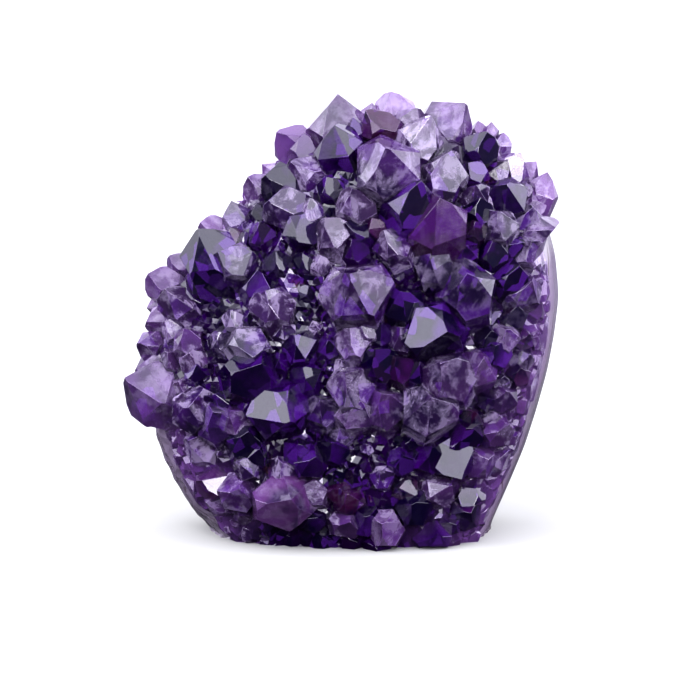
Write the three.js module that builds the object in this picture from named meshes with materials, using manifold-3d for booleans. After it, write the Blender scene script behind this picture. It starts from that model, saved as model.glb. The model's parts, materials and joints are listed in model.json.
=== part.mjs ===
// A polished amethyst geode section that stands upright on its sawn base: a domed body of pale
// quartz with a polished rim, and on its front a crust of amethyst crystals grown together.
// Millimetres, +Z up, the crystals face -Y. The origin is the middle of the sawn base.
import * as THREE from "three";
import { ConvexGeometry } from "three/addons/geometries/ConvexGeometry.js";
import { mergeVertices } from "three/addons/utils/BufferGeometryUtils.js";
import Module from "manifold-3d";

const wasm = await Module();
wasm.setup();

// The reference view: a long lens a little above the middle of the stone. Places read from it are
// pixels, across and down; sizes are real millimetres.
const MM_PER_PIXEL = 0.3;
const FOOT_PIXEL = { across: 355, down: 529 }; // where the origin shows
const MIDDLE_PIXEL = { across: 350, down: 350 };
const VIEW_DISTANCE = 1000;
const VIEW_DROP = THREE.MathUtils.degToRad(9); // how far the view looks down

// The body is a dome in front and a shallower dome behind, around one upright outline.
const DOME_RISE = 32;
const BACK_RISE = 26;
const DOME_ROUNDNESS = 2.4; // superellipse power: above 2 is flatter in front, fuller at the edge
const BACK_ROUNDNESS = 3.2;
const DOME_MIDDLE = { across: 358, down: 335 }; // pixels
const RIM_SHARE = { grown: 0.998, bare: 0.925 }; // of the way out, where the crystals end
// The rim is bare between these directions from the dome's middle, in degrees: it is ground and
// polished on the right, and broken off on the lower left.
const BARE_STRETCHES = [[-72, 28], [-156, -122]];
const BARE_FADE = 14;
const OUTLINE_STEPS = 32;
const DOME_RINGS = 5;
const BACK_RINGS = 5;
const BACK_LUMPS = 0.8; // the rough back swells and sinks by this much

// The crust: a thin floor of quartz that the crystals grow from.
const CRUST_FLOOR = 3;
const CRUST_FLOOR_AT_BARE_RIM = 1;
const TRIM_REACH = 45; // the bare rim is trimmed to this far in front of it
const TRIM_SLOPE = 0.35; // and leans in over the crystals by this share of it
const CLEAR_OF_CRYSTALS = 40;
const CRUST_GAP = 0.3; // between the crust and the body under it
const STAND_OUT = 0.32; // share of its width by which a crystal's shoulder clears the dome
const PARTLY_HIDDEN = 1.16; // a crystal is this much wider than it shows between its neighbours
const MOST_LEAN = THREE.MathUtils.degToRad(38); // between a crystal's axis and the dome's normal

// Quartz: six prism sides, and six tip faces whose normals stand at this angle to the long axis.
const TIP_FACE_TILT = THREE.MathUtils.degToRad(51.8);
const TIP_HEIGHT = Math.tan(TIP_FACE_TILT); // for each unit of half width
const SIX_FACED_FROM = 12; // wider crystals show all six tip faces, the others three

// Fill crystals: grown wherever the placed ones leave room.
const FILL_SEED = 20;
const FILL_TRIES = 2600;
const FILL_WIDTH = { least: 8, most: 10.5 };
const FILL_LEAN = THREE.MathUtils.degToRad(24);
const FILL_SPACING = 0.48; // share of the two widths that keeps neighbours apart
const FILL_STAND_OUT = 0.22;

// The body's outline at its widest, clockwise from the right-hand side, in pixels.
const OUTLINE = [
  [560, 285], [550, 362], [537, 410], [520, 460], [500, 503], [480, 545],
  [430, 592], [340, 596], [250, 562], [208, 526], [178, 487], [158, 440],
  [151, 395], [158, 345], [180, 290], [215, 240], [255, 193], [300, 150],
  [345, 126], [385, 117], [425, 119], [463, 133], [494, 152], [521, 175],
  [541, 203], [553, 240],
];

// The main crystals, read from the reference view: the tip and the heart, which is the middle of
// the tip's base, in pixels, then the width across the prism in millimetres, and the direction in
// which one sharp edge runs down from the tip, in degrees anticlockwise from the right.
const MAIN_CRYSTALS = [
  // along the top edge, from left to right
  [[278, 134], [297, 147], 11.5, 0],
  [[267, 177], [283, 183], 11, 330],
  [[338, 97], [335, 119], 14, 250],
  [[335, 128], [343, 149], 12, 230],
  [[366, 112], [377, 127], 9, 310],
  [[391, 94], [394, 114], 10.5, 280],
  [[464, 106], [448, 122], 13, 190],
  [[430, 119], [420, 140], 11.5, 240],
  [[486, 134], [480, 149], 9.5, 275],
  [[520, 154], [514, 166], 9, 230],
  [[547, 173], [541, 192], 8.5, 250],
  // upper field
  [[291, 163], [304, 174], 9, 340],
  [[385, 152], [388, 171], 17, 270],
  [[451, 152], [445, 174], 11, 240],
  [[506, 186], [514, 197], 10, 320],
  [[270, 202], [284, 209], 10.5, 330],
  [[420, 184], [410, 212], 13, 250],
  [[439, 201], [440, 226], 15, 265],
  [[352, 190], [356, 204], 10, 270],
  // left flank
  [[201, 231], [204, 255], 14, 290],
  [[219, 253], [232, 264], 10.5, 308],
  [[149, 274], [160, 284], 9, 320],
  [[167, 290], [180, 303], 10, 320],
  [[138, 369], [150, 368], 10, 0],
  [[127, 378], [146, 400], 15, 310],
  // middle of the field, from top to bottom
  [[299, 243], [299, 229], 10, 130],
  [[325, 219], [332, 234], 9.5, 290],
  [[384, 232], [392, 246], 9.5, 310],
  [[350, 275], [356, 293], 16.5, 300],
  [[430, 253], [433, 266], 10, 290],
  [[400, 292], [402, 304], 10, 280],
  [[266, 292], [271, 307], 10.5, 310],
  [[350, 329], [354, 346], 9, 300],
  [[446, 332], [434, 328], 15, 130],
  [[295, 336], [302, 350], 8.5, 300],
  [[254, 357], [252, 351], 10.5, 180],
  [[262, 364], [246, 379], 14, 225],
  [[374, 350], [377, 367], 10, 290],
  [[396, 358], [400, 371], 8.5, 280],
  [[345, 373], [350, 387], 12, 300],
  [[440, 364], [449, 383], 13.5, 300],
  [[290, 420], [282, 409], 14.5, 125],
  [[381, 394], [383, 411], 10, 280],
  [[360, 401], [356, 416], 10.5, 250],
  [[430, 398], [427, 412], 14, 270],
  [[320, 400], [320, 419], 9.5, 280],
  [[190, 407], [178, 416], 11.5, 210],
  [[214, 412], [211, 430], 10, 270],
  // right flank
  [[497, 213], [502, 228], 10, 290],
  [[560, 232], [546, 235], 10, 180],
  [[466, 275], [468, 289], 14.5, 258],
  [[518, 267], [515, 286], 10, 250],
  [[533, 279], [530, 295], 10, 260],
  [[483, 358], [481, 377], 9.5, 265],
  [[508, 424], [505, 437], 9, 250],
  // lower field and base
  [[249, 431], [243, 443], 9, 240],
  [[316, 456], [308, 470], 9.5, 240],
  [[432, 447], [432, 462], 8.5, 280],
  [[461, 478], [455, 461], 10.5, 90],
  [[465, 428], [465, 441], 10, 280],
  [[487, 459], [495, 475], 9, 300],
  [[203, 480], [212, 488], 8.5, 320],
  [[240, 488], [231, 502], 10, 230],
  [[292, 498], [275, 515], 14.5, 220],
  [[411, 504], [416, 515], 9, 300],
  [[382, 523], [386, 540], 9, 300],
  [[437, 533], [435, 543], 8.5, 250],
  [[470, 512], [480, 521], 8.5, 320],
];

// Repeatable random numbers from 0 to 1.
function seededRandom(seed) {
  let state = seed >>> 0;
  return () => {
    state = (state + 0x6d2b79f5) >>> 0;
    let mixed = Math.imul(state ^ (state >>> 15), 1 | state);
    mixed = (mixed + Math.imul(mixed ^ (mixed >>> 7), 61 | mixed)) ^ mixed;
    return ((mixed ^ (mixed >>> 14)) >>> 0) / 4294967296;
  };
}

// The reference view's own directions, and where its eye stands.
const viewAhead = new THREE.Vector3(0, Math.cos(VIEW_DROP), -Math.sin(VIEW_DROP));
const viewRight = new THREE.Vector3(1, 0, 0);
const viewUp = new THREE.Vector3(0, Math.sin(VIEW_DROP), Math.cos(VIEW_DROP));

// A pixel of the reference view, as a point on the upright sheet through the origin.
function onSheet(across, down) {
  return new THREE.Vector3()
    .addScaledVector(viewRight, (across - FOOT_PIXEL.across) * MM_PER_PIXEL)
    .addScaledVector(viewUp, (FOOT_PIXEL.down - down) * MM_PER_PIXEL);
}
const eye = onSheet(MIDDLE_PIXEL.across, MIDDLE_PIXEL.down).addScaledVector(viewAhead, -VIEW_DISTANCE);

// The point at depth y that shows at a pixel.
function atDepth(across, down, y) {
  const ray = onSheet(across, down).sub(eye);
  return eye.clone().addScaledVector(ray, (y - eye.y) / ray.y);
}

// The outline as a closed curve in the plane y = 0, and its reach from the dome's middle.
const domeMiddle = atDepth(DOME_MIDDLE.across, DOME_MIDDLE.down, 0);
const outline = new THREE.CatmullRomCurve3(
  OUTLINE.map(([across, down]) => atDepth(across, down, 0)), true, "centripetal");
const outlineReach = outline.getPoints(720).map((point) => {
  const dx = point.x - domeMiddle.x;
  const dz = point.z - domeMiddle.z;
  return { angle: Math.atan2(dz, dx), reach: Math.hypot(dx, dz) };
}).sort((a, b) => a.angle - b.angle);

function reachAt(angle) {
  const turned = Math.atan2(Math.sin(angle), Math.cos(angle));
  const after = outlineReach.findIndex((sample) => sample.angle >= turned);
  const high = outlineReach[after < 0 ? 0 : after];
  const low = outlineReach[(after <= 0 ? outlineReach.length : after) - 1];
  const span = high.angle - low.angle;
  const share = span > 1e-6 ? THREE.MathUtils.clamp((turned - low.angle) / span, 0, 1) : 0;
  return low.reach + (high.reach - low.reach) * share;
}

// 1 in the directions where the rim is bare, 0 where crystals grow over it, and a soft change
// between.
function bareAt(angle) {
  const turned = THREE.MathUtils.radToDeg(Math.atan2(Math.sin(angle), Math.cos(angle)));
  return Math.max(...BARE_STRETCHES.map(([from, to]) =>
    THREE.MathUtils.smoothstep(turned, from - BARE_FADE, from)
    * (1 - THREE.MathUtils.smoothstep(turned, to, to + BARE_FADE))));
}

function rimShareAt(angle) {
  return THREE.MathUtils.lerp(RIM_SHARE.grown, RIM_SHARE.bare, bareAt(angle));
}

// How far the dome stands in front of the plane y = 0 at a place on the front view.
function domeRise(x, z) {
  const dx = x - domeMiddle.x;
  const dz = z - domeMiddle.z;
  const share = Math.hypot(dx, dz) / reachAt(Math.atan2(dz, dx));
  return riseAtShare(share);
}

function riseAtShare(share) {
  return share < 1 ? DOME_RISE * (1 - share ** DOME_ROUNDNESS) ** (1 / DOME_ROUNDNESS) : 0;
}

// A closed skin of rings around the body, from the front pole to the back one. Each ring has its
// share of the outline's reach, its depth and a swelling that may change with the angle.
function ringedSolid(rings, frontDepth, backDepth) {
  const points = [[domeMiddle.x, frontDepth, domeMiddle.z]];
  for (const ring of rings)
    for (let step = 0; step < OUTLINE_STEPS; step++) {
      const angle = (step / OUTLINE_STEPS) * 2 * Math.PI;
      const reach = ring.reach(angle, reachAt(angle));
      points.push([
        domeMiddle.x + reach * Math.cos(angle),
        ring.depth(angle),
        domeMiddle.z + reach * Math.sin(angle),
      ]);
    }
  points.push([domeMiddle.x, backDepth, domeMiddle.z]);
  const faces = [];
  const at = (ring, step) => 1 + ring * OUTLINE_STEPS + (step % OUTLINE_STEPS);
  const last = points.length - 1;
  for (let step = 0; step < OUTLINE_STEPS; step++) {
    faces.push([0, at(0, step), at(0, step + 1)]);
    for (let ring = 0; ring + 1 < rings.length; ring++) {
      faces.push([at(ring, step), at(ring + 1, step), at(ring + 1, step + 1)]);
      faces.push([at(ring, step), at(ring + 1, step + 1), at(ring, step + 1)]);
    }
    faces.push([at(rings.length - 1, step), last, at(rings.length - 1, step + 1)]);
  }
  return solidFrom(new THREE.BufferGeometry()
    .setAttribute("position", new THREE.Float32BufferAttribute(points.flat(), 3))
    .setIndex(faces.flat()));
}

function solidFrom(geometry) {
  geometry.deleteAttribute("normal");
  geometry.deleteAttribute("uv");
  const merged = mergeVertices(geometry, 1e-4);
  return new wasm.Manifold(new wasm.Mesh({
    numProp: 3,
    vertProperties: new Float32Array(merged.attributes.position.array),
    triVerts: new Uint32Array(merged.index.array),
  }));
}

function geometryFrom(solid) {
  const mesh = solid.getMesh();
  const geometry = new THREE.BufferGeometry()
    .setAttribute("position", new THREE.BufferAttribute(new Float32Array(mesh.vertProperties), 3))
    .setIndex(new THREE.BufferAttribute(new Uint32Array(mesh.triVerts), 1));
  geometry.computeVertexNormals();
  return geometry;
}

function block(low, high) {
  const size = new THREE.Vector3().subVectors(high, low);
  const middle = new THREE.Vector3().addVectors(high, low).multiplyScalar(0.5);
  return solidFrom(new THREE.BoxGeometry(size.x, size.y, size.z).translate(middle.x, middle.y, middle.z));
}

// Everything above the sawn base, which is the plane z = 0.
const aboveBase = block(new THREE.Vector3(-200, -200, 0), new THREE.Vector3(200, 200, 300));

// Rings of the front dome, thickened outwards, then of the back dome.
function domeRings(thicker, rings) {
  return Array.from({ length: rings }, (_, index) => {
    const turn = ((index + 1) / rings) * (Math.PI / 2);
    const share = Math.sin(turn) ** (2 / DOME_ROUNDNESS);
    const rise = Math.max(Math.cos(turn), 0) ** (2 / DOME_ROUNDNESS);
    return {
      reach: (angle, reach) => reach * share + thicker * Math.sin(turn),
      depth: () => -DOME_RISE * rise - thicker * Math.cos(turn),
    };
  });
}

// The floor of the crust, from the pole to where the crystals end.
function floorRings() {
  return Array.from({ length: DOME_RINGS }, (_, index) => {
    const turn = ((index + 1) / DOME_RINGS) * (Math.PI / 2);
    const shareAt = (angle) => Math.sin(turn) ** (2 / DOME_ROUNDNESS) * rimShareAt(angle);
    const thicknessAt = (angle) => THREE.MathUtils.lerp(CRUST_FLOOR, CRUST_FLOOR_AT_BARE_RIM, bareAt(angle));
    return {
      reach: (angle, reach) => reach * shareAt(angle) + thicknessAt(angle) * Math.sin(turn),
      depth: (angle) => -riseAtShare(shareAt(angle)) - thicknessAt(angle) * Math.cos(turn),
    };
  });
}

// What is left after the rim was trimmed: a wide cone that narrows to the front where the rim is
// bare, and stands clear of the crystals elsewhere.
function trimmingCone() {
  const rimDepth = -riseAtShare(RIM_SHARE.bare);
  const front = rimDepth - TRIM_REACH;
  const ring = (trimmedDepth, grownDepth, inwards) => ({
    reach: (angle, reach) => {
      const trimmed = reach * RIM_SHARE.bare + CRUST_FLOOR_AT_BARE_RIM - inwards;
      return THREE.MathUtils.lerp(reach + CLEAR_OF_CRYSTALS, trimmed, bareAt(angle));
    },
    depth: (angle) => THREE.MathUtils.lerp(grownDepth, trimmedDepth, bareAt(angle)),
  });
  return ringedSolid([
    ring(front, front, TRIM_REACH * TRIM_SLOPE),
    ring(rimDepth, rimDepth, 0),
    ring(rimDepth + CRUST_GAP, BACK_RISE, 0),
  ], front, BACK_RISE);
}

function backRings(rings) {
  return Array.from({ length: rings }, (_, index) => {
    const turn = ((rings - 1 - index) / rings) * (Math.PI / 2) + 0.12;
    const share = Math.sin(turn) ** (2 / BACK_ROUNDNESS);
    const rise = Math.cos(turn) ** (2 / BACK_ROUNDNESS);
    const lump = (angle) => BACK_LUMPS * Math.sin(3 * angle + index * 1.7) * Math.cos(5 * angle - index);
    return {
      reach: (angle, reach) => reach * share + lump(angle) * 0.5,
      depth: (angle) => BACK_RISE * rise + lump(angle),
    };
  });
}

function geodeBody() {
  const rings = [...domeRings(0, DOME_RINGS), ...backRings(BACK_RINGS)];
  return ringedSolid(rings, -DOME_RISE, BACK_RISE).intersect(aboveBase);
}

// The faces of a crystal, with their reach from its heart. The tip faces grow unequally, and every
// other one is larger, as in most quartz.
function crystalFaces({ width, stem, random }) {
  const half = width / 2;
  const favoured = 2 * Math.floor(3 * random());
  const faces = [{ normal: new THREE.Vector3(0, 0, -1), reach: stem }];
  for (let side = 0; side < 6; side++) {
    const turn = (Math.PI / 3) * side + Math.PI / 6;
    const normal = new THREE.Vector3(Math.cos(turn), Math.sin(turn), 0);
    faces.push({ normal, reach: half * (0.88 + 0.24 * random()) });
    const major = side % 2 === 0;
    const share = random();
    const grown = side === favoured ? -0.1 * share : major ? 0.1 * share : 0.06 + 0.26 * share;
    if (major || width > SIX_FACED_FROM)
      faces.push({
        normal: normal.clone().multiplyScalar(Math.sin(TIP_FACE_TILT)).setZ(Math.cos(TIP_FACE_TILT)),
        reach: half * (Math.sin(TIP_FACE_TILT) + grown),
      });
  }
  return faces;
}

// A quartz crystal as the space inside its faces: the corner points where three faces meet.
function crystalGeometry(crystal) {
  const faces = crystalFaces(crystal);
  const corners = [];
  const system = new THREE.Matrix3();
  for (let i = 0; i < faces.length; i++)
    for (let j = i + 1; j < faces.length; j++)
      for (let k = j + 1; k < faces.length; k++) {
        const [a, b, c] = [faces[i], faces[j], faces[k]];
        system.set(...a.normal.toArray(), ...b.normal.toArray(), ...c.normal.toArray());
        if (Math.abs(system.determinant()) < 1e-6) continue;
        const corner = new THREE.Vector3(a.reach, b.reach, c.reach).applyMatrix3(system.invert());
        if (faces.every((face) => face.normal.dot(corner) <= face.reach + 1e-6)) corners.push(corner);
      }
  // the tip stands over the heart, and the ridge is turned to its direction in the view
  const tip = corners.reduce((highest, corner) => (corner.z > highest.z ? corner : highest));
  const centred = new THREE.Matrix4().makeTranslation(-tip.x, -tip.y, 0);
  const across = viewRight.clone().projectOnPlane(crystal.axis).normalize();
  const placing = new THREE.Matrix4()
    .makeBasis(across, new THREE.Vector3().crossVectors(crystal.axis, across), crystal.axis)
    .setPosition(crystal.heart)
    .multiply(new THREE.Matrix4().makeRotationZ(crystal.ridge))
    .multiply(centred);
  return new ConvexGeometry(corners.map((corner) => corner.clone().applyMatrix4(placing)));
}

// The dome's place that shows at a pixel, and its normal there; beside the dome, the rim's.
function domeUnder(across, down) {
  let place = atDepth(across, down, -DOME_RISE / 2);
  for (let pass = 0; pass < 12; pass++)
    place = atDepth(across, down, -domeRise(place.x, place.z));
  return { place, normal: domeNormal(place.x, place.z) };
}

function domeNormal(x, z) {
  if (domeRise(x, z) === 0)
    return new THREE.Vector3(x - domeMiddle.x, 0, z - domeMiddle.z).normalize();
  const step = 0.5;
  const slopeX = (domeRise(x + step, z) - domeRise(x - step, z)) / (2 * step);
  const slopeZ = (domeRise(x, z + step) - domeRise(x, z - step)) / (2 * step);
  return new THREE.Vector3(-slopeX, -1, -slopeZ).normalize();
}

// The axis, turned back towards the dome's normal where it leans too far from it.
function straightened(axis, normal) {
  const lean = axis.angleTo(normal);
  if (lean <= MOST_LEAN) return axis;
  const turning = new THREE.Vector3().crossVectors(normal, axis).normalize();
  return normal.clone().applyAxisAngle(turning, MOST_LEAN);
}

function mainCrystals() {
  return MAIN_CRYSTALS.map(([tip, heart, widthSeen, ridge]) => {
    const width = widthSeen * PARTLY_HIDDEN;
    const tipHeight = (TIP_HEIGHT * width) / 2;
    const lean = new THREE.Vector2(tip[0] - heart[0], heart[1] - tip[1])
      .multiplyScalar(MM_PER_PIXEL / tipHeight);
    lean.clampLength(0, 0.96);
    const seen = new THREE.Vector3()
      .addScaledVector(viewRight, lean.x)
      .addScaledVector(viewUp, lean.y)
      .addScaledVector(viewAhead, -Math.sqrt(1 - lean.lengthSq()));
    const axis = straightened(seen, domeUnder(...heart).normal);
    // the tip stays where it shows, and the heart goes under it
    const { place, normal } = domeUnder(
      tip[0] - (axis.dot(viewRight) * tipHeight) / MM_PER_PIXEL,
      tip[1] + (axis.dot(viewUp) * tipHeight) / MM_PER_PIXEL);
    const ray = place.clone().sub(eye).normalize();
    place.addScaledVector(ray, (-STAND_OUT * width) / Math.max(-normal.dot(ray), 0.35));
    return {
      heart: place,
      axis,
      width,
      ridge: THREE.MathUtils.degToRad(ridge),
      stem: width * 0.9 + 5,
      random: seededRandom(1009 * tip[0] + tip[1]),
    };
  });
}

// Crystals that fill the room between the main ones, on the front and round the rough edges.
function fillCrystals(taken, random) {
  const grown = [];
  for (let attempt = 0; attempt < FILL_TRIES; attempt++) {
    const angle = random() * 2 * Math.PI;
    const share = Math.sin(Math.acos(1 - random())) ** (2 / DOME_ROUNDNESS) * rimShareAt(angle);
    const reach = reachAt(angle) * share;
    const x = domeMiddle.x + reach * Math.cos(angle);
    const z = domeMiddle.z + reach * Math.sin(angle);
    const width = THREE.MathUtils.lerp(FILL_WIDTH.least, FILL_WIDTH.most, random() ** 2);
    const lean = FILL_LEAN * Math.sqrt(random());
    const leanTurn = random() * 2 * Math.PI;
    const ridge = random() * 2 * Math.PI;
    if (z < -2) continue;
    const normal = domeNormal(x, z);
    const heart = new THREE.Vector3(x, -domeRise(x, z), z).addScaledVector(normal, FILL_STAND_OUT * width);
    const crowded = [...taken, ...grown].some(
      (other) => other.heart.distanceTo(heart) < FILL_SPACING * (other.width + width));
    if (crowded) continue;
    const sideways = new THREE.Vector3(Math.cos(leanTurn), 0, Math.sin(leanTurn));
    const axis = normal.clone().addScaledVector(sideways, Math.tan(lean)).normalize();
    grown.push({ heart, axis, width, ridge, stem: width * 0.9 + 4, random });
  }
  return grown;
}

function amethystCrust() {
  const random = seededRandom(FILL_SEED);
  const main = mainCrystals();
  const crystals = [...main, ...fillCrystals(main, random)];
  const floor = ringedSolid(floorRings(), -DOME_RISE - CRUST_FLOOR, 0);
  const solids = crystals.map((crystal) => solidFrom(crystalGeometry(crystal)));
  const grown = wasm.Manifold.union([floor, ...solids]);
  const bedding = ringedSolid(
    [...domeRings(CRUST_GAP, DOME_RINGS), ...backRings(BACK_RINGS)], -DOME_RISE - CRUST_GAP, BACK_RISE + 20);
  const crust = grown.subtract(bedding).intersect(trimmingCone()).intersect(aboveBase);
  const parts = crust.decompose().sort((a, b) => b.volume() - a.volume());
  return parts[0]; // the others are crumbs that the trimming cut loose
}

function piece(name, solid, colour, roughness) {
  const material = new THREE.MeshStandardMaterial({ color: colour, roughness, metalness: 0 });
  const mesh = new THREE.Mesh(geometryFrom(solid), material);
  mesh.name = name;
  return mesh;
}

const geode = new THREE.Group();
geode.add(piece("geode_body", geodeBody(), 0xd9d2de, 0.3));
geode.add(piece("amethyst_crystals", amethystCrust(), 0x4a2a7a, 0.15));

export default geode;
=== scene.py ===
"""A polished amethyst geode section that stands on its sawn base: its looks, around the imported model.

The crystals are grown again here with all their small neighbours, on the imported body's own dome.
Metres, +Z up; the crystals face -Y.
"""
import json
import math
import random

import bmesh
import bpy
from mathutils import Matrix, Vector, noise
from mathutils.bvhtree import BVHTree

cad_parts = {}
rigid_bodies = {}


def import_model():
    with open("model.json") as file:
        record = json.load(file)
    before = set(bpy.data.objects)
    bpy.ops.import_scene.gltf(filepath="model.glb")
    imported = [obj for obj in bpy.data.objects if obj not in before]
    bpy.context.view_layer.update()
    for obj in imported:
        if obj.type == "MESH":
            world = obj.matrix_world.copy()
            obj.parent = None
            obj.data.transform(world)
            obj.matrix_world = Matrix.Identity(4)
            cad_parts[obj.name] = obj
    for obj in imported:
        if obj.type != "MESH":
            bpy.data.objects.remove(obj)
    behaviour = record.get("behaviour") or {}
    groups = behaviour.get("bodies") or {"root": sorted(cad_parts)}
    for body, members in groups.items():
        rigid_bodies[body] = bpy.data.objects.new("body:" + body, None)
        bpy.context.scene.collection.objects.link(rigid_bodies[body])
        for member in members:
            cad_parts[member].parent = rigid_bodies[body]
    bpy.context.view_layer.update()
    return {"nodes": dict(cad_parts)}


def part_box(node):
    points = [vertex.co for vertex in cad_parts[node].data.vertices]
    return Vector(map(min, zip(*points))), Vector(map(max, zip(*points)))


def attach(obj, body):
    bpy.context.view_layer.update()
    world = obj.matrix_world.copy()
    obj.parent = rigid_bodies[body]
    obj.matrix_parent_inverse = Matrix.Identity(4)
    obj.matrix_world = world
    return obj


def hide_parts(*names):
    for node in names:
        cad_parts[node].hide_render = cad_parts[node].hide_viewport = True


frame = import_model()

MM = 0.001

# The photograph's view: a long lens, a little above the middle of the stone.
PIXEL = 0.3 * MM
FRAME_PIXELS = 700
FOOT_PIXEL = (355, 529)  # where the origin shows
MIDDLE_PIXEL = (350, 350)
VIEW_DISTANCE = 1.0
VIEW_DROP = math.radians(9)
SENSOR = 36.0

view_ahead = Vector((0, math.cos(VIEW_DROP), -math.sin(VIEW_DROP)))
view_right = Vector((1, 0, 0))
view_up = Vector((0, math.sin(VIEW_DROP), math.cos(VIEW_DROP)))

# Crystals.
TIP_FACE_TILT = math.radians(51.8)  # a tip face's normal from the long axis, as in all quartz
TIP_HEIGHT = math.tan(TIP_FACE_TILT)  # for each unit of half width
STAND_OUT = 0.32  # share of its width by which a crystal's shoulder clears the dome
PARTLY_HIDDEN = 1.16  # a crystal is this much wider than it shows between its neighbours
MOST_LEAN = math.radians(38)  # between a crystal's axis and the dome's normal under it
SEED_STEP = 1009  # a main crystal's seed is its tip's first pixel number times this, plus the second
FILL_SEED = 20
FILL_TRIES = 14000
FILL_WIDTH = (3.4 * MM, 8.5 * MM)
FILL_LEAN = math.radians(26)
FILL_SPACING = 0.43  # share of the two widths that keeps neighbours apart
FILL_STAND_OUT = (0.0, 0.34)
FILL_RISE = 0.9  # low down, they lean up as the main ones do
FILL_CROWDING = 1.6  # over 1 makes more of them narrow than wide
DEEP_SHARE = 0.7  # of the small ones in the middle of the field are nearly black
DEEP_IN_FRONT = (13 * MM, 24 * MM)  # in front of the body's middle plane, where the field's middle begins
MOST_SIDEWAYS = 0.96  # sine of the most that a crystal is turned from the viewer
STEM = (0.9, 5 * MM, 4 * MM)  # for each unit of width, and added for a main and for a small crystal
LEAST_FACING = 0.35  # cosine between the view and the dome that still places a crystal along the view
EDGE_WEAR = 0.09 * MM
EDGE_WEAR_AND_HIGHLIGHT = (0.04, 0.4)  # edges paler, partly by wear and partly as a painted edge highlight: for each edge, and for each unit of its crystal's paleness
TONE_SPREAD = (0.7, 1.3)

# The crust that they grow from, and where it ends.
CRUST_FLOOR = 1.8 * MM
CRUST_GAP = 0.3 * MM
DRUSE = (-0.7 * MM, 1.3 * MM)
DRUSE_GROWTH = (0, 0, 0.1, 0.4)  # pale, milk, wine and chance
UNDER_BASE = 4 * MM
GROWN_DEPTH = -2.5 * MM  # crystals grow in front of this depth
BARE_DEPTH = -15 * MM  # or of this one, where the rim is bare
BARE_STRETCHES = ((-72, 28), (-156, -122))  # directions from the dome's middle, in degrees
BARE_FADE = 14
TRIMMED_SHARE = 0.925  # of the way out, where the bare rim is ground down to
TRIM_REACH = 45 * MM  # in front of the rim
TRIM_SLOPE = 0.35
TRIM_STEPS = 120
GROUND_GROWTH = (0.9, 1.0, 0.0, 0.5)  # pale, milk, wine and chance of the ground faces
FULL_HEIGHT = 9 * MM  # over the body, where crystals are clear of the milky feet
NEAR_RIM = (17 * MM, 2 * MM)  # in front of the crystals' end, where they begin to pale and are palest
RUST_REACH = 3.4 * MM
SKIN_DEPTH = 6 * MM  # the rough skin of the back begins behind this depth
RUST_PIXELS = ((521, 175), (482, 182), (476, 220), (452, 360), (433, 363), (391, 318), (386, 285),
               (297, 285), (277, 460), (272, 465), (227, 477), (192, 505), (374, 391))

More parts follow.
